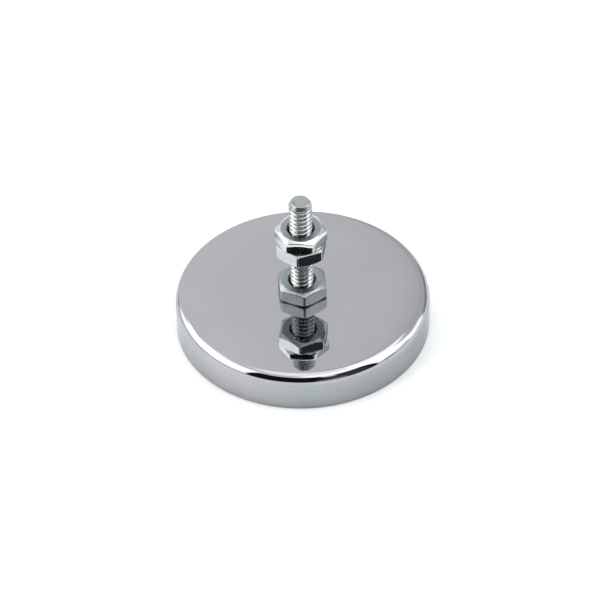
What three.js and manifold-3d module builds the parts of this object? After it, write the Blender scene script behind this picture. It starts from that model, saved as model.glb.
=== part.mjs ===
// Round-base pot magnet with a threaded bolt and three hex nuts.
// Units are millimetres. +Z runs up the bolt. The origin is the centre of the magnetic face,
// which the magnet rests on and pulls from.
import * as THREE from 'three';
import { mergeVertices } from 'three/addons/utils/BufferGeometryUtils.js';
import Module from 'manifold-3d';

// Steel cup, drawn from sheet, open side down
const CUP_RADIUS = 25.9;
const CUP_HEIGHT = 8.5;
const SHEET = 1.3;
const CUP_EDGE_RADIUS = 1.85;
const CUP_CORNER_INSIDE = 0.7;
const CUP_LIP_RADIUS = 0.3;
const CUP_HOLE_RADIUS = 2.55;
const NUT_SEAT_RADIUS = 6.5; // the part of the flat top that the base nut covers
const CROWN_START = 17; // the top is flat inside this radius and falls away slightly outside it
const CROWN_RADIUS = 333;

// What the cup holds
const BED_THICKNESS = 0.3;
const MAGNET_BORE_RADIUS = 11;
const MAGNET_RADIUS = 23.4;
const MAGNET_CHAMFER = 0.3;
const POTTING_RECESS = 0.5; // how far the potting stays behind the magnetic face
const BED_SETBACK = 0.4;

// Machine screw, number 10 with 24 threads to the inch, one inch long under its head
const PITCH = 25.4 / 24;
const BOLT_LENGTH = 25.4;
const CREST_RADIUS = 2.375;
const ROOT_RADIUS = 1.77;
const NECK_RADIUS = 2.0;
const NECK_LENGTH = 0.8;
const TIP_RADIUS = 1.68;
const HEAD_RADIUS = 4.65;
const HEAD_HEIGHT = 3.2;
const HEAD_EDGE_RADIUS = 1.5;
const RECESS_SPAN = 5.6;
const RECESS_WIDTH = 1.2;
const RECESS_DEPTH = 2.2;
const RECESS_TAPER = 0.55; // size of the recess floor over the size of its mouth

// Hex nuts, three eighths of an inch across flats and about one eighth thick
const NUT_FLATS = 9.45;
const NUT_THICKNESS = 3.25;
const NUT_FACE_RADIUS = 4.2;
const NUT_CHAMFER_SLOPE = Math.tan(THREE.MathUtils.degToRad(30));
const NUT_BORE_RADIUS = 2.45;
const NUT_COUNTERSINK_RADIUS = 2.75;
const LOWER_JAM_HEIGHT = 10.5; // its lower face above the top of the cup

// Each nut's turn about the bolt, in degrees, from a corner pointing along -Y
const BASE_NUT_TURN = 4.5;
const LOWER_JAM_TURN = -9.5;
const UPPER_JAM_TURN = 24.3;

// Smoothness
const ROUND = 64;
const FINE_ROUND = 40;
const THREAD_ROUND = 20;
const ARC_STEPS = 5;

// Heights worked out from the above
const CUP_CEILING = CUP_HEIGHT - SHEET;
const MAGNET_TOP = CUP_CEILING - BED_THICKNESS;
const CUP_BORE_RADIUS = CUP_RADIUS - SHEET;
const BOLT_TIP = CUP_CEILING + BOLT_LENGTH;

const wasm = await Module();
wasm.setup();

// Turns a closed geometry into a solid that can be joined and cut
function toSolid(geometry) {
  const bare = geometry.clone();
  bare.deleteAttribute('normal');
  bare.deleteAttribute('uv');
  const welded = mergeVertices(bare, 1e-5);
  const vertProperties = new Float32Array(welded.attributes.position.array);
  const triVerts = new Uint32Array(welded.index.array);
  return new wasm.Manifold(new wasm.Mesh({ numProp: 3, vertProperties, triVerts }));
}

function toGeometry(solid) {
  const mesh = solid.getMesh();
  const geometry = new THREE.BufferGeometry();
  geometry.setAttribute('position', new THREE.BufferAttribute(mesh.vertProperties, 3));
  geometry.setIndex(new THREE.BufferAttribute(mesh.triVerts, 1));
  geometry.computeVertexNormals();
  return geometry;
}

// Points along an arc in the (radius, height) half-plane; angles in degrees
function arc(centreR, centreZ, radius, from, to, steps = ARC_STEPS) {
  const points = [];
  for (let i = 0; i <= steps; i += 1) {
    const angle = THREE.MathUtils.degToRad(from + ((to - from) * i) / steps);
    points.push([centreR + radius * Math.cos(angle), centreZ + radius * Math.sin(angle)]);
  }
  return points;
}

// Turns a profile of [radius, height] points about +Z. A profile that doesn't start and end
// on the axis is closed on itself. Points run anticlockwise in the (radius, height) half-plane.
function turned(profile, segments = ROUND) {
  const onAxis = profile[0][0] === 0 && profile[profile.length - 1][0] === 0;
  const outline = onAxis ? profile : [...profile, profile[0]];
  const points = outline.map(([r, z]) => new THREE.Vector2(r, z));
  return new THREE.LatheGeometry(points, segments).rotateX(Math.PI / 2);
}

function steelCup() {
  const crownWidth = CUP_RADIUS - CUP_EDGE_RADIUS - CROWN_START;
  const crownHeight = (out) => CUP_HEIGHT - out ** 2 / (2 * CROWN_RADIUS);
  const crown = [];
  for (let i = ARC_STEPS - 1; i >= 0; i -= 1) {
    const out = (crownWidth * i) / ARC_STEPS;
    crown.push([CROWN_START + out, crownHeight(out)]);
  }
  const edgeCentre = crownHeight(crownWidth) - CUP_EDGE_RADIUS;
  const lip = CUP_LIP_RADIUS;
  const corner = CUP_CORNER_INSIDE;
  return turned([
    [CUP_HOLE_RADIUS, CUP_CEILING],
    ...arc(CUP_BORE_RADIUS - corner, CUP_CEILING - corner, corner, 90, 0, 3),
    ...arc(CUP_BORE_RADIUS + lip, lip, lip, 180, 270, 2),
    ...arc(CUP_RADIUS - lip, lip, lip, 270, 360, 2),
    ...arc(CUP_RADIUS - CUP_EDGE_RADIUS, edgeCentre, CUP_EDGE_RADIUS, 0, 90, 6),
    ...crown,
    [NUT_SEAT_RADIUS, CUP_HEIGHT],
    [CUP_HOLE_RADIUS, CUP_HEIGHT],
  ]);
}

function ringMagnet() {
  const c = MAGNET_CHAMFER;
  return turned([
    [MAGNET_BORE_RADIUS, MAGNET_TOP],
    [MAGNET_BORE_RADIUS, c],
    [MAGNET_BORE_RADIUS + c, 0],
    [MAGNET_RADIUS - c, 0],
    [MAGNET_RADIUS, c],
    [MAGNET_RADIUS, MAGNET_TOP],
  ]);
}

// Resin that centres the magnet in the cup; its top corner clears the cup's inside corner
function pottingRing() {
  return turned([
    [MAGNET_RADIUS, MAGNET_TOP],
    [MAGNET_RADIUS, POTTING_RECESS],
    [CUP_BORE_RADIUS, POTTING_RECESS],
    [CUP_BORE_RADIUS, CUP_CEILING - CUP_CORNER_INSIDE],
    [CUP_BORE_RADIUS - CUP_CORNER_INSIDE / 2, MAGNET_TOP],
  ]);
}

// Glue between the magnet and the inside of the cup
function adhesiveBed() {
  return turned([
    [MAGNET_BORE_RADIUS + BED_SETBACK, CUP_CEILING],
    [MAGNET_BORE_RADIUS + BED_SETBACK, MAGNET_TOP],
    [MAGNET_RADIUS - BED_SETBACK, MAGNET_TOP],
    [MAGNET_RADIUS - BED_SETBACK, CUP_CEILING],
  ]);
}

// A right-handed thread from below z = low to above z = high, with ramped ends. Its surface is a
// grid of columns round the axis, each one a little higher than the last, so that the column
// after a full turn meets the first one a pitch higher.
function threadedRod(low, high) {
  const profile = [[ROOT_RADIUS, 0], [ROOT_RADIUS, 0.2], [CREST_RADIUS, 0.52], [CREST_RADIUS, 0.68]];
  const perPitch = profile.length;
  const rows = perPitch * Math.ceil((high - low) / PITCH + 1);
  const positions = [];
  const addPoint = (r, angle, z) => positions.push(r * Math.cos(angle), r * Math.sin(angle), z);
  const index = [];
  const columnStart = [];
  for (let i = 0; i < THREAD_ROUND; i += 1) {
    columnStart.push(positions.length / 3);
    const last = i === 0 ? rows + perPitch : rows;
    for (let j = 0; j <= last; j += 1) {
      const [r, share] = profile[j % perPitch];
      const turns = Math.floor(j / perPitch) - 1 + share + i / THREAD_ROUND;
      addPoint(r, (2 * Math.PI * i) / THREAD_ROUND, low + turns * PITCH);
    }
  }
  const at = (i, j) => (i < THREAD_ROUND ? columnStart[i] + j : columnStart[0] + j + perPitch);
  for (let i = 0; i < THREAD_ROUND; i += 1) {
    for (let j = 0; j < rows; j += 1) {
      index.push(at(i, j), at(i + 1, j), at(i + 1, j + 1));
      index.push(at(i, j), at(i + 1, j + 1), at(i, j + 1));
    }
  }
  const bottomLoop = [];
  const topLoop = [];
  for (let i = 0; i < THREAD_ROUND; i += 1) {
    bottomLoop.push(at(i, 0));
    topLoop.push(at(i, rows));
  }
  for (let j = perPitch; j > 0; j -= 1) {
    bottomLoop.push(columnStart[0] + j);
    topLoop.push(columnStart[0] + rows + j);
  }
  const closeEnd = (loop, z, facesUp) => {
    const centre = positions.length / 3;
    addPoint(0, 0, z);
    loop.forEach((point, k) => {
      const next = loop[(k + 1) % loop.length];
      index.push(centre, ...(facesUp ? [point, next] : [next, point]));
    });
  };
  closeEnd(bottomLoop, low - PITCH / 2, false);
  closeEnd(topLoop, low + (rows / perPitch - 0.5) * PITCH, true);
  const geometry = new THREE.BufferGeometry();
  geometry.setAttribute('position', new THREE.Float32BufferAttribute(positions, 3));
  geometry.setIndex(index);
  return geometry;
}

// One pair of wings of the cross recess, narrower at its floor, opening downwards
function recessWing(z, turn) {
  const over = 0.4; // how far the cutter stands out of the head
  const wing = new THREE.BoxGeometry(RECESS_SPAN, RECESS_WIDTH, RECESS_DEPTH + over);
  const points = wing.attributes.position;
  for (let i = 0; i < points.count; i += 1) {
    if (points.getZ(i) > 0) points.setXY(i, points.getX(i) * RECESS_TAPER, points.getY(i) * RECESS_TAPER);
  }
  return wing.rotateZ(turn).translate(0, 0, z + (RECESS_DEPTH - over) / 2);
}

// Pan head inside the cup, bearing up against its ceiling, and a fully threaded shank
function bolt() {
  const face = CUP_CEILING - HEAD_HEIGHT;
  const edge = HEAD_EDGE_RADIUS;
  const headAndNeck = turned([
    [0, face],
    ...arc(HEAD_RADIUS - edge, face + edge, edge, 270, 360, 4),
    [HEAD_RADIUS, CUP_CEILING],
    [NECK_RADIUS, CUP_CEILING],
    [NECK_RADIUS, CUP_CEILING + NECK_LENGTH + 0.3],
    [0, CUP_CEILING + NECK_LENGTH + 0.3],
  ], FINE_ROUND);
  const start = CUP_CEILING + NECK_LENGTH;
  const reach = CREST_RADIUS + 0.2;
  const endsCut = turned([
    [0, start],
    [ROOT_RADIUS, start],
    [reach, start + reach - ROOT_RADIUS],
    [reach, BOLT_TIP - (reach - TIP_RADIUS)],
    [TIP_RADIUS, BOLT_TIP],
    [0, BOLT_TIP],
  ], FINE_ROUND);
  const shank = toSolid(threadedRod(start, BOLT_TIP)).intersect(toSolid(endsCut));
  const wings = toSolid(recessWing(face, 0)).add(toSolid(recessWing(face, Math.PI / 2)));
  return toGeometry(toSolid(headAndNeck).add(shank).subtract(wings));
}

// A hex nut standing on z = 0, chamfered on both faces, with a corner along -Y
function hexNut() {
  const corner = NUT_FLATS / 2 / Math.cos(Math.PI / 6);
  const corners = [];
  for (let i = 0; i < 6; i += 1) {
    const angle = ((2 * i + 1) * Math.PI) / 6;
    corners.push(new THREE.Vector2(corner * Math.cos(angle), corner * Math.sin(angle)));
  }
  const outline = new THREE.Shape(corners);
  const prism = new THREE.ExtrudeGeometry(outline, { depth: NUT_THICKNESS, bevelEnabled: false });
  const reach = corner + 0.3;
  const drop = (reach - NUT_FACE_RADIUS) * NUT_CHAMFER_SLOPE;
  const chamfers = turned([
    [0, 0],
    [NUT_FACE_RADIUS, 0],
    [reach, drop],
    [reach, NUT_THICKNESS - drop],
    [NUT_FACE_RADIUS, NUT_THICKNESS],
    [0, NUT_THICKNESS],
  ]);
  const over = 0.5; // how far the bore's cutter stands out of each face
  const sink = NUT_COUNTERSINK_RADIUS - NUT_BORE_RADIUS;
  const bore = turned([
    [0, -over],
    [NUT_COUNTERSINK_RADIUS + over, -over],
    [NUT_BORE_RADIUS, sink],
    [NUT_BORE_RADIUS, NUT_THICKNESS - sink],
    [NUT_COUNTERSINK_RADIUS + over, NUT_THICKNESS + over],
    [0, NUT_THICKNESS + over],
  ], FINE_ROUND);
  return toGeometry(toSolid(prism).intersect(toSolid(chamfers)).subtract(toSolid(bore)));
}

const chrome = { color: 0xb9bcc0, roughness: 0.06, metalness: 1 };
const zinc = { color: 0xb2b5af, roughness: 0.28, metalness: 1 };
const ferrite = { color: 0x2c2d2f, roughness: 0.65, metalness: 0.1 };
const resin = { color: 0x1b1b1c, roughness: 0.45, metalness: 0 };
const glue = { color: 0xb8a678, roughness: 0.5, metalness: 0 };

function piece(name, geometry, look) {
  const mesh = new THREE.Mesh(geometry, new THREE.MeshStandardMaterial(look));
  mesh.name = name;
  return mesh;
}

// A nut with its lower face at the given height above the top of the cup
function nutAt(name, height, turn) {
  const mesh = piece(name, hexNut(), zinc);
  mesh.position.z = CUP_HEIGHT + height;
  mesh.rotation.z = THREE.MathUtils.degToRad(turn);
  return mesh;
}

const magnet = new THREE.Group();
magnet.add(
  piece('steel_cup', steelCup(), chrome),
  piece('ring_magnet', ringMagnet(), ferrite),
  piece('potting_ring', pottingRing(), resin),
  piece('adhesive_bed', adhesiveBed(), glue),
  piece('bolt', bolt(), zinc),
  nutAt('base_nut', 0, BASE_NUT_TURN),
  nutAt('lower_jam_nut', LOWER_JAM_HEIGHT, LOWER_JAM_TURN),
  nutAt('upper_jam_nut', LOWER_JAM_HEIGHT + NUT_THICKNESS, UPPER_JAM_TURN),
);

export default magnet;
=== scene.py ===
"""A round pot magnet with its bolt and three nuts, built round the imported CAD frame."""
import math

import bmesh
import bpy
import numpy as np
from mathutils import Matrix, Vector


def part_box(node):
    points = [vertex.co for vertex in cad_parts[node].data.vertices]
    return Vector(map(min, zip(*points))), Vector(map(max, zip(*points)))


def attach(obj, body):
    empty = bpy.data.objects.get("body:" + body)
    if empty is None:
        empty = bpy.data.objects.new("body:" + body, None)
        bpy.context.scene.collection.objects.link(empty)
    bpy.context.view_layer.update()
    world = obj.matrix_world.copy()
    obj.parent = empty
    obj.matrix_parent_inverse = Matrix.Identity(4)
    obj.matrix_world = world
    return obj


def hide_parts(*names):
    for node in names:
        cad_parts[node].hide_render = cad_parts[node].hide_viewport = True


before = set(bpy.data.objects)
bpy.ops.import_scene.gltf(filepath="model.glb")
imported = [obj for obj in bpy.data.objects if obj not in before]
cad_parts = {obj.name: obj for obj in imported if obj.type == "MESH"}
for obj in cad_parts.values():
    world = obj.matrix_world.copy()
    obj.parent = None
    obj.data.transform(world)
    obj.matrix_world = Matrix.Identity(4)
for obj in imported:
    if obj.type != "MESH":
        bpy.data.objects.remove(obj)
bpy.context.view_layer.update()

MM = 0.001

# Sizes and heights that come from the frame, in metres
CUP_LOW, CUP_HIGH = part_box("steel_cup")
MAGNET_LOW, MAGNET_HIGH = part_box("ring_magnet")
BED_LOW, BED_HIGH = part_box("adhesive_bed")
POTTING_LOW, POTTING_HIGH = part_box("potting_ring")
BOLT_LOW, BOLT_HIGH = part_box("bolt")
CUP_RADIUS = CUP_HIGH.x
CUP_TOP = CUP_HIGH.z
CUP_CEILING = BED_HIGH.z
CUP_BORE = POTTING_HIGH.x

# Camera
CAMERA_DISTANCE = 1.0
CAMERA_ELEVATION = 42.46
CAMERA_ROLL = 1.49
VIEW_WIDTH = 124.4117 * MM  # what the camera takes in at that distance
AIM_RIGHT, AIM_UP = 0.27 * MM, 3.52 * MM  # from the origin to the point it aims at, as it sees it

# Cup
CUP_COLUMNS = 288
EDGE_RADIUS = 2.1 * MM
CROWN_START = 17 * MM
CROWN_RADIUS = 165 * MM
LIP_RADIUS = 0.3 * MM
INSIDE_CORNER = 0.7 * MM
CUP_HOLE = 2.55 * MM
FLAT_RINGS = (4 * MM, 9 * MM)  # extra rings of points across the flat top

# Magnet, resin and glue
RING_COLUMNS = 192
MAGNET_BORE = 11 * MM
MAGNET_CHAMFER = 0.3 * MM
MENISCUS_SAG = 0.25 * MM
BED_SETBACK = 0.4 * MM
BED_PUSH = 0.12 * MM  # how unevenly the glue is pressed out
BED_ROUNDING = 0.07 * MM
BED_LIP = 0.1 * MM

# Thread, number 10 with 24 to the inch, shared by the bolt and the nuts; the radii are the bolt's
PITCH = 25.4 / 24 * MM
CREST = 2.375 * MM
ROOT = 1.77 * MM
CREST_HALF = 0.045  # half widths of the crest and the root, as shares of the pitch
ROOT_HALF = 0.1
FLANK_ROUNDING = 0.3  # 0 for straight flanks, 1 for fully rounded ones
THREAD_ZERO = CUP_TOP + 23.42 * MM  # height of a crest on the -Y side

# Bolt
BOLT_COLUMNS = 120
BOLT_ROWS = 16  # for each pitch
NECK = 2.0 * MM
NECK_LENGTH = 0.8 * MM
TIP = 1.92 * MM
TIP_TAPER = 0.55
TIP_CHAMFER = 0.25 * MM  # height of the taper's top part, which is clear of the thread
TIP_DISH = 0.06 * MM
DISH_EDGE, DISH_FLOOR = 0.8 * TIP, 0.65 * TIP
TIP_ROUNDING = 0.18 * MM
DISH_ROUNDING = 0.4 * MM
TIP_WEAR = 1.0 * MM  # how far down the tip is scuffed
RUN_OUT = 1.3 * MM  # the thread starts to fade this far under the tip
RUN_OUT_LENGTH = 0.35 * MM
HEAD_EDGE = 1.5 * MM
HEAD_ROUNDING = 0.15 * MM  # of the edge of its bearing face
NECK_ROUNDING = 0.1 * MM  # where the neck meets that face

# Cross recess in the bolt's head
RECESS_REACH = 2.8 * MM  # of each wing, from the centre
RECESS_HALF_WIDTH = 0.6 * MM
RECESS_CORNER = 0.9 * MM  # where two wings meet
RECESS_DEPTH = 2.2 * MM
RECESS_POINT = 0.3 * MM
RECESS_TAPER = 0.5  # size of its floor over the size of its mouth

# Nuts
NUT_COLUMNS = 36  # for each of the six sides
NUT_ROWS = 12  # of the internal thread, for each pitch
NUT_CROWDING = 0.7  # how far the columns crowd towards the corners
NUT_FLATS = 9.45 * MM
NUT_SINK = 2.9 * MM
NUT_MINOR = 1.95 * MM
NUT_MAJOR = 2.44 * MM
NUT_PLAY = 0.06 * MM
NUT_LEAN_HEIGHT = 0.55 * MM
NUT_LEAN_ROUNDING = 0.8 * MM
NUT_BREAK = 0.15 * MM  # least width of the chamfer, between the corners
# Turn from a corner that faces -Y in degrees, sharpness of the six corners, then for the top and
# the bottom edge: radius of the flat face, slope of the chamfer in degrees, its rounding, and
# how far the side leans in beside it
NUTS = {
    "base_nut": (4.5, 60, (4.25, 23, 0.16, 0.01), (4.35, 26, 0.08, 0.0)),
    "lower_jam_nut": (-9.5, 45, (4.8, 10, 0.1, 0.02), (4.3, 30, 0.2, 0.0)),
    "upper_jam_nut": (24.3, 24, (4.2, 28, 0.35, 0.05), (4.6, 38, 0.12, 0.0)),
}
FACING_UP = 0.995  # least upward part of the normal of a nut's bearing face

WELD = 2e-7  # points closer than this are one
FLOOR_SIZE = 3.0
FLOOR_DROP = 0.00002


# ---------------------------------------------------------------- camera

def make_camera():
    elevation = math.radians(CAMERA_ELEVATION)
    roll = math.radians(CAMERA_ROLL)
    up = Vector((0, math.sin(elevation), math.cos(elevation)))
    back = Vector((0, -math.cos(elevation), math.sin(elevation)))
    right = Vector((1, 0, 0))
    aim = right * AIM_RIGHT + up * AIM_UP
    data = bpy.data.cameras.new("camera")
    data.sensor_width = 36
    data.lens = data.sensor_width * CAMERA_DISTANCE / VIEW_WIDTH
    data.clip_start = 0.05
    data.clip_end = 20
    camera = bpy.data.objects.new("camera", data)
    tilted_up = up * math.cos(roll) + right * math.sin(roll)
    tilted_right = right * math.cos(roll) - up * math.sin(roll)
    turn = Matrix((tilted_right, tilted_up, back)).transposed()
    camera.matrix_world = Matrix.Translation(aim + back * CAMERA_DISTANCE) @ turn.to_4x4()
    bpy.context.scene.collection.objects.link(camera)
    bpy.context.scene.camera = camera


# ---------------------------------------------------------------- mesh tools

def even_angles(count):
    return [2 * math.pi * i / count for i in range(count)]


def filleted(points, radii, steps=6):
    """The open polyline with its inner corners rounded; radii holds one radius for each of them."""
    straight = 1e-3
    out = [points[0]]
    for k in range(1, len(points) - 1):
        corner = np.array(points[k], float)
        to_last = np.array(points[k - 1], float) - corner
        to_next = np.array(points[k + 1], float) - corner
        a = to_last / np.linalg.norm(to_last)
        b = to_next / np.linalg.norm(to_next)
        half = math.acos(max(-1.0, min(1.0, float(a @ b)))) / 2
        if math.pi / 2 - half < straight:  # there's nothing to round
            out += [tuple(corner)] * (steps + 1)
            continue
        back = radii[k - 1] / math.tan(half)
        bisector = (a + b) / np.linalg.norm(a + b)
        centre = corner + bisector * (radii[k - 1] / math.sin(half))
        start = corner + a * back - centre
        end = corner + b * back - centre
        sweep = math.pi - 2 * half
        side = math.copysign(1, start[0] * end[1] - start[1] * end[0])
        for i in range(steps + 1):
            t = side * sweep * i / steps
            out.append((centre[0] + start[0] * math.cos(t) - start[1] * math.sin(t),
                        centre[1] + start[0] * math.sin(t) + start[1] * math.cos(t)))
    out.append(points[-1])
    return out


class Skin:
    """Collects surfaces as points and faces, then welds them into one closed mesh."""

    def __init__(self):
        self.points = []
        self.faces = []

    def revolve(self, profile, angles):
        """profile is a list of (r, z), or a function that gives one for each angle."""
        start = len(self.points)
        lines = [profile(angle) if callable(profile) else profile for angle in angles]
        for angle, line in zip(angles, lines):
            self.points += [(r * math.cos(angle), r * math.sin(angle), z) for r, z in line]
        rows = len(lines[0])
        count = len(angles)
        for i in range(count):
            here, there = start + i * rows, start + (i + 1) % count * rows
            for j in range(rows - 1):
                self.faces.append((here + j, there + j, there + j + 1, here + j + 1))

    def thread(self, radius, limit, low, high, angles, per_pitch):
        """A right-hand thread between two flat ends. radius gives the form over one pitch and
        limit(r, z) trims it; rows outside the ends fall onto the end rings and are welded away."""
        first = math.floor((low - THREAD_ZERO) / PITCH) - 1
        turns = math.ceil((high - low) / PITCH) + 2
        rows = turns * per_pitch
        width = rows + per_pitch + 1
        start = len(self.points)
        for angle in angles:
            for j in range(width):
                share = j / per_pitch
                z = THREAD_ZERO + (first + share + (angle + math.pi / 2) / (2 * math.pi)) * PITCH
                z = min(max(z, low), high)
                r = limit(radius(share % 1), z)
                self.points.append((r * math.cos(angle), r * math.sin(angle), z))
        count = len(angles)
        for i in range(count):
            here, there = start + i * width, start + (i + 1) % count * width
            skip = per_pitch if i == count - 1 else 0
            for j in range(rows):
                self.faces.append((here + j, there + j + skip, there + j + skip + 1, here + j + 1))

    def build(self, name, smooth_angle=math.radians(40)):
        mesh = bpy.data.meshes.new(name)
        mesh.from_pydata(self.points, [], self.faces)
        work = bmesh.new()
        work.from_mesh(mesh)
        bmesh.ops.remove_doubles(work, verts=work.verts, dist=WELD)
        loose = [v for v in work.verts if not v.link_faces]
        bmesh.ops.delete(work, geom=loose, context="VERTS")
        bmesh.ops.recalc_face_normals(work, faces=work.faces)
        for face in work.faces:
            face.smooth = True
        for edge in work.edges:
            if len(edge.link_faces) == 2:
                edge.smooth = edge.calc_face_angle(0) < smooth_angle
        work.to_mesh(mesh)
        work.free()
        piece = bpy.data.objects.new(name, mesh)
        bpy.context.scene.collection.objects.link(piece)
        return piece


def cut(piece, cutter):
    """Subtracts one mesh from another and drops the cutter."""
    step = piece.modifiers.new("cut", "BOOLEAN")
    step.operation = "DIFFERENCE"
    step.solver = "EXACT"
    step.object = cutter
    graph = bpy.context.evaluated_depsgraph_get()
    result = bpy.data.meshes.new_from_object(piece.evaluated_get(graph))
    piece.modifiers.clear()
    piece.data = result
    bpy.data.objects.remove(cutter)


# ---------------------------------------------------------------- pieces

def cup_piece():
    crown_width = CUP_RADIUS - EDGE_RADIUS - CROWN_START
    crown = []
    for t in np.linspace(0, 1, 15):
        out = crown_width * t
        crown.append((CROWN_START + out, CUP_TOP - out ** 2 / (2 * CROWN_RADIUS)))
    edge_centre = crown[-1][1] - EDGE_RADIUS
    edge = []
    for t in np.linspace(0, math.pi / 2, 22):
        inward = EDGE_RADIUS * (1 - math.sin(t))
        edge.append((CUP_RADIUS - inward, edge_centre + EDGE_RADIUS * math.cos(t)))
    lip_top = 2 * LIP_RADIUS
    wall = [(CUP_RADIUS, edge_centre * (1 - t) + lip_top * t) for t in np.linspace(0.1, 1, 6)]
    flat = [(r, CUP_TOP) for r in (CUP_HOLE, *FLAT_RINGS)]
    rim = filleted([wall[-1], (CUP_RADIUS, CUP_LOW.z), (CUP_BORE, CUP_LOW.z), (CUP_BORE, lip_top)],
                   [LIP_RADIUS, LIP_RADIUS])
    inside = filleted([(CUP_BORE, lip_top), (CUP_BORE, CUP_CEILING), (CUP_HOLE, CUP_CEILING)],
                      [INSIDE_CORNER])
    outline = flat + crown + edge[1:] + wall + rim[1:] + inside[1:] + flat[:1]
    skin = Skin()
    skin.revolve(outline, even_angles(CUP_COLUMNS))
    return skin.build("cup_shell")


def magnet_piece():
    c = MAGNET_CHAMFER
    inner, outer = MAGNET_BORE, MAGNET_HIGH.x
    low, high = MAGNET_LOW.z, MAGNET_HIGH.z
    outline = [(inner, high), (inner, low + c), (inner + c, low),
               (outer - c, low), (outer, low + c), (outer, high), (inner, high)]
    skin = Skin()
    skin.revolve(outline, even_angles(RING_COLUMNS))
    return skin.build("ferrite_ring", math.radians(20))


def potting_piece():
    """Resin with a hollow meniscus between the magnet and the cup's wall."""
    inner, outer = MAGNET_HIGH.x, POTTING_HIGH.x
    low, high = POTTING_LOW.z, POTTING_HIGH.z
    meniscus = []
    for t in np.linspace(0, 1, 13):
        meniscus.append((inner + (outer - inner) * t, low + MENISCUS_SAG * 4 * t * (1 - t)))
    upper = [(outer, CUP_CEILING - INSIDE_CORNER), (outer - INSIDE_CORNER / 2, high), (inner, high)]
    skin = Skin()
    skin.revolve([(inner, high)] + meniscus + upper, even_angles(RING_COLUMNS))
    return skin.build("resin_fill", math.radians(30))


def bed_piece():
    """Glue pressed out unevenly round the magnet's bore."""
    low, high = BED_LOW.z, BED_HIGH.z
    outer = BED_HIGH.x

    def line(angle):
        wave = math.sin(3 * angle + 0.4)
        wave += 0.6 * math.sin(7 * angle)
        wave += 0.4 * math.sin(12 * angle + 2)
        edge = MAGNET_BORE + BED_SETBACK + BED_PUSH * wave
        lip = edge + BED_LIP
        return [(lip, high), (edge, high - BED_ROUNDING), (edge, low + BED_ROUNDING), (lip, low),
                (outer, low), (outer, high), (lip, high)]

    skin = Skin()
    skin.revolve(line, even_angles(RING_COLUMNS))
    return skin.build("glue_bed", math.radians(50))


def thread_form(share):
    """Bolt radius over one pitch, with its crest at 0 and its root at one half."""
    away = abs((share + 0.5) % 1 - 0.5)
    t = (away - CREST_HALF) / (0.5 - ROOT_HALF - CREST_HALF)
    t = min(max(t, 0), 1)
    soft = FLANK_ROUNDING * t * t * (3 - 2 * t) + (1 - FLANK_ROUNDING) * t
    return CREST + (ROOT - CREST) * soft


def cross_cutter(face):
    """The cross recess: four tapering wings that meet in a cone."""
    over = 0.4 * MM  # how far the cutter stands out of the head
    reach, half, corner = RECESS_REACH, RECESS_HALF_WIDTH, RECESS_CORNER
    wing = [(reach, -half), (reach, half), (corner, corner)]
    ring = []
    for quarter in range(4):
        cos, sin = math.cos(quarter * math.pi / 2), math.sin(quarter * math.pi / 2)
        ring += [(x * cos - y * sin, x * sin + y * cos) for x, y in wing]
    mesh = bpy.data.meshes.new("cross_cutter")
    work = bmesh.new()
    levels = []
    widened = 1 + (1 - RECESS_TAPER) * over / RECESS_DEPTH
    for z, scale in ((face - over, widened), (face + RECESS_DEPTH, RECESS_TAPER)):
        levels.append([work.verts.new((x * scale, y * scale, z)) for x, y in ring])
    low, high = levels
    count = len(ring)
    for i in range(count):
        work.faces.new((low[i], low[(i + 1) % count], high[(i + 1) % count], high[i]))
    work.faces.new(list(reversed(low)))
    point = work.verts.new((0, 0, face + RECESS_DEPTH + RECESS_POINT))
    for i in range(count):
        work.faces.new((high[i], high[(i + 1) % count], point))
    bmesh.ops.recalc_face_normals(work, faces=work.faces)
    work.to_mesh(mesh)
    work.free()
    cutter = bpy.data.objects.new("cross_cutter", mesh)
    bpy.context.scene.collection.objects.link(cutter)
    return cutter


def bolt_piece():
    angles = even_angles(BOLT_COLUMNS)
    tip_z = BOLT_HIGH.z
    start = CUP_CEILING + NECK_LENGTH

    def limit(r, z):
        if z <= start:
            return NECK
        run_in = NECK + (z - start)
        run_out = TIP + TIP_TAPER * (tip_z - z)
        fade = min(max((z - tip_z + RUN_OUT) / RUN_OUT_LENGTH, 0), 1)
        return min(r + (CREST - r) * fade, run_in, run_out)

    skin = Skin()
    shoulder = tip_z - TIP_CHAMFER
    skin.thread(thread_form, limit, start, shoulder, angles, BOLT_ROWS)
    dish_z = tip_z - TIP_DISH
    end = filleted([(TIP + TIP_TAPER * TIP_CHAMFER, shoulder), (TIP, tip_z), (DISH_EDGE, tip_z),
                    (DISH_FLOOR, dish_z), (0, dish_z)],
                   [TIP_ROUNDING, DISH_ROUNDING, DISH_ROUNDING])
    skin.revolve(end, angles)
    low, head = BOLT_LOW.z, BOLT_HIGH.x
    dome_top = (head, low + HEAD_EDGE)
    under = filleted([(NECK, start), (NECK, CUP_CEILING), (head, CUP_CEILING), dome_top],
                     [NECK_ROUNDING, HEAD_ROUNDING])
    dome = filleted([dome_top, (head, low), (0, low)], [HEAD_EDGE], 12)
    skin.revolve(under + dome[1:], angles)
    piece = skin.build("bolt_fine")
    cut(piece, cross_cutter(low))
    for face in piece.data.polygons:
        if face.center.z > tip_z - TIP_WEAR:
            face.material_index = 1
    return piece


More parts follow.
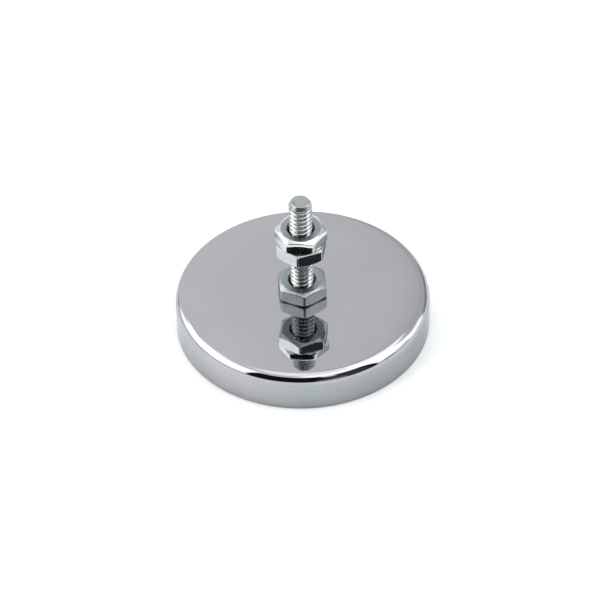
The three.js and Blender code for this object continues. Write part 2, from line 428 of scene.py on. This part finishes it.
def nut_piece(node):
    low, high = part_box(node)
    bottom, top = low.z, high.z
    degrees, sharpness, top_edge, bottom_edge = NUTS[node]
    turn = math.radians(degrees)
    sixth = math.radians(60)
    angles = []
    for side in range(6):
        for k in range(NUT_COLUMNS):
            t = 2 * k / NUT_COLUMNS - 1
            crowded = t + NUT_CROWDING * math.sin(math.pi * t) / math.pi
            angles.append(turn + sixth * side + sixth / 2 * crowded)

    def hexagon(angle):
        facings = [max(math.cos(angle - turn - sixth * side), 0) for side in range(6)]
        return NUT_FLATS / 2 / sum(facing ** sharpness for facing in facings) ** (1 / sharpness)

    def edge(r, height, inward, shape):
        face, slope, soft, lean = shape
        flat = min(face * MM, r - NUT_BREAK)
        drop = (r - flat) * math.tan(math.radians(slope))
        points = [(flat, height), (r - lean * MM, height + inward * drop),
                  (r, height + inward * (drop + NUT_LEAN_HEIGHT))]
        return points, [2 * soft * MM, soft * MM, NUT_LEAN_ROUNDING]

    def outside(angle):
        r = hexagon(angle)
        upper, upper_radii = edge(r, top, -1, top_edge)
        lower, lower_radii = edge(r, bottom, 1, bottom_edge)
        line = [(NUT_SINK, top)] + upper + lower[::-1] + [(NUT_SINK, bottom)]
        return filleted(line, upper_radii + lower_radii[::-1])

    def form(share):
        return min(max(thread_form(share) + NUT_PLAY, NUT_MINOR), NUT_MAJOR)

    def limit(r, z):
        return max(r, NUT_SINK - (top - z), NUT_SINK - (z - bottom))

    skin = Skin()
    skin.revolve(outside, angles)
    skin.thread(form, limit, bottom, top, angles, NUT_ROWS)
    piece = skin.build(node + "_fine")
    for face in piece.data.polygons:
        # the countersink and the threaded bore take the third material, a zinc darkened with
        # painted shade
        if face.center.xy.length < NUT_SINK:
            face.material_index = 2
        elif face.normal.z > FACING_UP:
            face.material_index = 1
    return piece


# ---------------------------------------------------------------- materials

def new_material(name):
    material = bpy.data.materials.new(name)
    material.use_nodes = True
    tree = material.node_tree
    return material, tree, tree.nodes["Principled BSDF"]


def place_in_object(tree):
    """The object's own coordinates, in metres."""
    return tree.nodes.new("ShaderNodeTexCoord").outputs["Object"]


def noise(tree, scale, detail=4.0, roughness=0.5, stretch=(1, 1, 1)):
    """Noise in object space; scale is in features per metre."""
    shape = tree.nodes.new("ShaderNodeMapping")
    shape.inputs["Scale"].default_value = stretch
    grain = tree.nodes.new("ShaderNodeTexNoise")
    grain.inputs["Scale"].default_value = scale
    grain.inputs["Detail"].default_value = detail
    grain.inputs["Roughness"].default_value = roughness
    tree.links.new(place_in_object(tree), shape.inputs["Vector"])
    tree.links.new(shape.outputs["Vector"], grain.inputs["Vector"])
    return grain.outputs["Fac"]


def ramp(tree, value, stops):
    """A colour ramp; stops are (position, grey or colour)."""
    band = tree.nodes.new("ShaderNodeValToRGB")
    while len(band.color_ramp.elements) < len(stops):
        band.color_ramp.elements.new(0.5)
    for element, (position, colour) in zip(band.color_ramp.elements, stops):
        element.position = position
        shade = (colour,) * 3 if isinstance(colour, (int, float)) else colour
        element.color = (*shade, 1)
    tree.links.new(value, band.inputs["Fac"])
    return band.outputs["Color"]


def bump(tree, shader, height, strength, distance):
    node = tree.nodes.new("ShaderNodeBump")
    node.inputs["Strength"].default_value = strength
    node.inputs["Distance"].default_value = distance
    tree.links.new(height, node.inputs["Height"])
    tree.links.new(node.outputs["Normal"], shader.inputs["Normal"])


def compute(tree, operation, *values):
    """One arithmetic node; each value is a number or a socket."""
    node = tree.nodes.new("ShaderNodeMath")
    node.operation = operation
    for socket, value in zip(node.inputs, values):
        if isinstance(value, (int, float)):
            socket.default_value = value
        else:
            tree.links.new(value, socket)
    return node.outputs[0]


def tinted(tree, colour, shade):
    """The colour times a grey shade."""
    node = tree.nodes.new("ShaderNodeVectorMath")
    node.operation = "MULTIPLY"
    tree.links.new(colour, node.inputs[0])
    tree.links.new(shade, node.inputs[1])
    return node.outputs[0]


def where(tree, share, colour):
    """The colour where share is 1, and white where it is 0."""
    node = tree.nodes.new("ShaderNodeMix")
    node.data_type = "RGBA"
    share_in, white_in, colour_in, colour_out = 0, 6, 7, 2  # the colour sockets of a Mix node
    tree.links.new(share, node.inputs[share_in])
    node.inputs[white_in].default_value = (1, 1, 1, 1)
    tree.links.new(colour, node.inputs[colour_in])
    return node.outputs[colour_out]


def chrome_material():
    """Bright plate, finely spotted on the wall, with painted shade darkening it towards the lip and
    painted reflected light and shade across the wall: brighter on the left side, darker right of
    centre.
    """
    material, tree, shader = new_material("chrome_plate")
    shader.inputs["Metallic"].default_value = 1
    shader.inputs["Specular Tint"].default_value = (0.82, 0.82, 0.83, 1)
    split = tree.nodes.new("ShaderNodeSeparateXYZ")
    tree.links.new(place_in_object(tree), split.inputs[0])
    # painted shade: the chrome darkens towards the lip for the floor's contact shadow seen in it,
    # with a noisy edge
    uneven = compute(tree, "MULTIPLY", compute(tree, "SUBTRACT", noise(tree, 220, 4), 0.5), 3 * MM)
    height = compute(tree, "DIVIDE", compute(tree, "ADD", split.outputs["Z"], uneven), CUP_TOP)
    painted_lip_shade = ramp(tree, height, [(0.02, 0.85), (0.2, 0.96), (0.6, 1.0)])
    spots = ramp(tree, noise(tree, 1300, 2), [(0.64, 0.0), (0.72, 0.18)])
    # painted light and shade across the wall: brighter on the left side, where the reflected floor
    # is lit more, and darker right of centre
    across = compute(tree, "MULTIPLY_ADD", split.outputs["X"], 0.5 / CUP_RADIUS, 0.5)
    painted_side_shading = ramp(tree, across, [
        (0.05, 1.16),
        (0.21, (1.08, 1.035, 1.03)),
        (0.5, (0.825, 0.87, 0.853)),
        (0.76, (0.86, 0.88, 0.885)),
        (0.92, 0.965),
    ])
    on_wall = ramp(tree, height, [(0.72, 1.0), (0.85, 0.0)])
    spotted = compute(tree, "SUBTRACT", 1.0, compute(tree, "MULTIPLY", spots, on_wall))
    dim, bright = (0.388, 0.391, 0.413), (0.403, 0.406, 0.428)
    colour = ramp(tree, noise(tree, 90, 3), [(0.3, dim), (0.7, bright)])
    # the wall's colour takes painted shade towards the lip, its real spots, and painted light and
    # shade from side to side
    for shade in (painted_lip_shade, spotted, where(tree, on_wall, painted_side_shading)):
        colour = tinted(tree, colour, shade)
    tree.links.new(colour, shader.inputs["Base Color"])
    rough = ramp(tree, noise(tree, 700, 5, 0.6), [(0.35, 0.025), (0.75, 0.06)])
    tree.links.new(rough, shader.inputs["Roughness"])
    bump(tree, shader, noise(tree, 260, 2), 0.05, 0.02 * MM)
    return material


def zinc_material(name, tone, smooth, dull, grain):
    """Bright zinc: tone is its lightness, smooth and dull are the roughness of its best and its
    worst patches, and grain is the strength of its fine texture."""
    material, tree, shader = new_material(name)
    shader.inputs["Metallic"].default_value = 1
    shader.inputs["Specular Tint"].default_value = (0.7, 0.71, 0.72, 1)
    deep = [tone * c for c in (0.373, 0.404, 0.406)]
    pale = [tone * c for c in (0.444, 0.47, 0.464)]
    colour = ramp(tree, noise(tree, 900, 4), [(0.3, deep), (0.7, pale)])
    tree.links.new(colour, shader.inputs["Base Color"])
    rough = ramp(tree, noise(tree, 2500, 5, 0.6), [(0.3, smooth), (0.75, dull)])
    tree.links.new(rough, shader.inputs["Roughness"])
    bump(tree, shader, noise(tree, 4200, 4, 0.6), grain, 0.012 * MM)
    return material


def turned_material():
    """The nuts' bearing faces: duller zinc over fine rings left by the lathe."""
    material, tree, shader = new_material("zinc_turned")
    shader.inputs["Metallic"].default_value = 1
    deep, pale = (0.235, 0.267, 0.28), (0.32, 0.352, 0.365)
    colour = ramp(tree, noise(tree, 1600, 5, 0.6), [(0.3, deep), (0.7, pale)])
    tree.links.new(colour, shader.inputs["Base Color"])
    rough = ramp(tree, noise(tree, 2500, 4), [(0.3, 0.27), (0.75, 0.42)])
    tree.links.new(rough, shader.inputs["Roughness"])
    rings = tree.nodes.new("ShaderNodeTexWave")
    rings.wave_type = "RINGS"
    rings.rings_direction = "Z"
    rings.inputs["Scale"].default_value = 1500
    rings.inputs["Distortion"].default_value = 2
    rings.inputs["Detail"].default_value = 3
    tree.links.new(place_in_object(tree), rings.inputs["Vector"])
    bump(tree, shader, rings.outputs["Fac"], 0.2, 0.012 * MM)
    return material


def ferrite_material():
    material, tree, shader = new_material("ferrite")
    deep, pale = (0.035, 0.035, 0.037), (0.075, 0.074, 0.074)
    colour = ramp(tree, noise(tree, 500, 6, 0.6), [(0.3, deep), (0.72, pale)])
    tree.links.new(colour, shader.inputs["Base Color"])
    rough = ramp(tree, noise(tree, 1500, 4), [(0.3, 0.42), (0.7, 0.68)])
    tree.links.new(rough, shader.inputs["Roughness"])
    bump(tree, shader, noise(tree, 420, 5, 0.55, (1, 14, 1)), 0.35, 0.02 * MM)
    return material


def resin_material():
    material, tree, shader = new_material("potting_resin")
    deep, pale = (0.012, 0.012, 0.013), (0.028, 0.028, 0.03)
    colour = ramp(tree, noise(tree, 800, 4), [(0.3, deep), (0.7, pale)])
    tree.links.new(colour, shader.inputs["Base Color"])
    rough = ramp(tree, noise(tree, 1200, 3), [(0.3, 0.22), (0.7, 0.42)])
    tree.links.new(rough, shader.inputs["Roughness"])
    bump(tree, shader, noise(tree, 600, 3), 0.25, 0.04 * MM)
    return material


def glue_material():
    material, tree, shader = new_material("adhesive")
    deep, pale = (0.36, 0.27, 0.12), (0.52, 0.42, 0.22)
    colour = ramp(tree, noise(tree, 700, 4), [(0.3, deep), (0.7, pale)])
    tree.links.new(colour, shader.inputs["Base Color"])
    rough = ramp(tree, noise(tree, 900, 3), [(0.3, 0.3), (0.7, 0.5)])
    tree.links.new(rough, shader.inputs["Roughness"])
    bump(tree, shader, noise(tree, 900, 3), 0.3, 0.03 * MM)
    return material


def floor_material():
    material, tree, shader = new_material("paper_floor")
    deep, pale = (0.885, 0.91, 0.91), (0.905, 0.93, 0.93)
    colour = ramp(tree, noise(tree, 60, 4), [(0.3, deep), (0.7, pale)])
    tree.links.new(colour, shader.inputs["Base Color"])
    shader.inputs["Roughness"].default_value = 0.9
    shader.inputs["Specular IOR Level"].default_value = 0.1
    return material


# ---------------------------------------------------------------- studio

def make_floor():
    half = FLOOR_SIZE / 2
    mesh = bpy.data.meshes.new("floor")
    corners = [(-half, -half, -FLOOR_DROP), (half, -half, -FLOOR_DROP),
               (half, half, -FLOOR_DROP), (-half, half, -FLOOR_DROP)]
    mesh.from_pydata(corners, [], [(0, 1, 2, 3)])
    floor = bpy.data.objects.new("floor", mesh)
    bpy.context.scene.collection.objects.link(floor)
    mesh.materials.append(floor_material())


class Sky:
    """Small helpers for a world shader that is a function of direction."""

    def __init__(self):
        world = bpy.data.worlds.new("studio")
        bpy.context.scene.world = world
        world.use_nodes = True
        self.tree = world.node_tree
        self.tree.nodes.clear()
        direction = self.tree.nodes.new("ShaderNodeTexCoord").outputs["Generated"]
        split = self.tree.nodes.new("ShaderNodeSeparateXYZ")
        self.tree.links.new(direction, split.inputs[0])
        self.x, self.y, self.z = split.outputs

    def math(self, operation, *values):
        return compute(self.tree, operation, *values)

    def step(self, value, low, high):
        """0 below low, 1 above high, smooth between them."""
        node = self.tree.nodes.new("ShaderNodeMapRange")
        node.interpolation_type = "SMOOTHSTEP"
        self.tree.links.new(value, node.inputs["Value"])
        node.inputs["From Min"].default_value = low
        node.inputs["From Max"].default_value = high
        return node.outputs["Result"]

    def band(self, value, low, high, soft):
        """1 between low and high, falling to 0 over soft outside each."""
        rise = self.step(value, low - soft, low)
        fall = self.math("SUBTRACT", 1.0, self.step(value, high, high + soft))
        return self.math("MULTIPLY", rise, fall)


BACKDROP = 1.04
BACKDROP_LOSS = 0.11  # how much darker it is on the +X side
BACKDROP_HALF = 0.06  # half width of the soft step to that side, in the x part of a direction

# Lights round the object, and what stands between them: radiance added to the backdrop, azimuth
# from and to (0 is -Y, 90 is +X), height above the horizon from and to, and how softly each pair
# of edges fades, all in degrees
PANELS = [
    (1.25, 12, 140, 54, 71, 30, 5),  # overhead, in front and to the right
    (0.75, -400, 400, 78, 95, 1, 12),  # straight above
    (1.18, -126, -52, 10, 52, 8, 12),  # left
    (0.8, -118, -60, 34, 48, 12, 10),  # its brighter middle
    (2.2, -137, -129, 40.5, 44.5, 5, 2),  # spot at its back end
    (1.3, 64, 104, 20, 52, 5, 14),  # right
    (1.2, 98, 117, 4, 24, 5, 8),  # its lower part
    (-0.17, 126, 172, -4, 60, 5, 10),  # dull stretch behind on the right
    (-0.32, 120, 150, 3, 17, 4, 5),  # dark ledge behind on the right
    (-0.4, 69, 76, -12, 12, 3, 6),  # stand on the right
    (-0.75, -130, -50, -4, 5, 10, 5),  # dull strip low on the left
    (-0.45, -400, 400, -4, 2, 1, 4),  # far edge of the table
]
OPENING = (-46, 60, -90, 51, 2.5, 4)  # dark room on the -Y side
NOTCH = (19, 27, 43, 55, 5, 6)  # light seen past the top of what stands there
WARM = (13, 31, -25, 12, 5, 9)  # something brown low down in it
DIM = (22, 52, -20, 48, 6, 5)  # its lighter right side
WARM_RADIANCE = 0.3
WARM_COLOUR = (1.0, 0.62, 0.56)
DIM_RADIANCE = 0.055
ROOM_RADIANCE = 0.012
LEVEL = 1.1  # of all of it together


def make_studio():
    sky = Sky()
    front = sky.math("MULTIPLY", sky.y, -1.0)
    azimuth = sky.math("MULTIPLY", sky.math("ARCTAN2", sky.x, front), 180 / math.pi)
    height = sky.math("MULTIPLY", sky.math("ARCSINE", sky.z), 180 / math.pi)

    def panel(left, right, low, high, soft, soft_height):
        across = sky.band(azimuth, left, right, soft)
        return sky.math("MULTIPLY", across, sky.band(height, low, high, soft_height))

    right_side = sky.step(sky.x, -BACKDROP_HALF, BACKDROP_HALF)
    light = sky.math("SUBTRACT", BACKDROP, sky.math("MULTIPLY", right_side, BACKDROP_LOSS))
    for radiance, *area in PANELS:
        light = sky.math("ADD", light, sky.math("MULTIPLY", panel(*area), radiance))
    dark = sky.math("SUBTRACT", panel(*OPENING), panel(*NOTCH))
    light = sky.math("MULTIPLY", light, sky.math("SUBTRACT", 1.0, sky.math("MAXIMUM", dark, 0.0)))
    warm = panel(*WARM)
    light = sky.math("ADD", light, sky.math("MULTIPLY", warm, WARM_RADIANCE))
    light = sky.math("ADD", light, sky.math("MULTIPLY", panel(*DIM), DIM_RADIANCE))
    light = sky.math("MULTIPLY", sky.math("ADD", light, ROOM_RADIANCE), LEVEL)
    colour = ramp(sky.tree, warm, [(0, 1.0), (1, WARM_COLOUR)])
    shader = sky.tree.nodes.new("ShaderNodeBackground")
    out = sky.tree.nodes.new("ShaderNodeOutputWorld")
    sky.tree.links.new(colour, shader.inputs["Color"])
    sky.tree.links.new(light, shader.inputs["Strength"])
    sky.tree.links.new(shader.outputs[0], out.inputs["Surface"])


# ---------------------------------------------------------------- assembly

def place(piece, body, node, slot, *materials):
    for material in materials:
        piece.data.materials.append(material)
    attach(piece, body)
    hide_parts(node)


make_camera()
make_floor()
make_studio()
bpy.context.scene.view_settings.view_transform = "Standard"

bolt_zinc = zinc_material("zinc_bolt", 0.86, 0.1, 0.2, 0.07)
tip_zinc = zinc_material("zinc_tip", 0.88, 0.24, 0.36, 0.2)
side_zinc = {
    "base_nut": zinc_material("zinc_base_nut", 0.75, 0.2, 0.34, 0.14),
    "lower_jam_nut": zinc_material("zinc_lower_jam_nut", 1.22, 0.04, 0.1, 0.06),
    "upper_jam_nut": zinc_material("zinc_upper_jam_nut", 1.4, 0.04, 0.1, 0.06),
}
turned_zinc = turned_material()
# painted shade: the nuts' countersinks and bores get a far darker zinc that stands for the shade in
# these recesses
painted_shade_bore_zinc = zinc_material("zinc_bores_painted_shade", 0.3, 0.3, 0.45, 0.2)
place(cup_piece(), "magnet", "steel_cup", "chrome_plate", chrome_material())
place(magnet_piece(), "magnet", "ring_magnet", "ferrite", ferrite_material())
place(potting_piece(), "magnet", "potting_ring", "potting_resin", resin_material())
place(bed_piece(), "magnet", "adhesive_bed", "adhesive", glue_material())
place(bolt_piece(), "bolt", "bolt", "zinc_plate", bolt_zinc, tip_zinc)
for nut in NUTS:
    place(nut_piece(nut), nut, nut, "zinc_plate", side_zinc[nut], turned_zinc, painted_shade_bore_zinc)
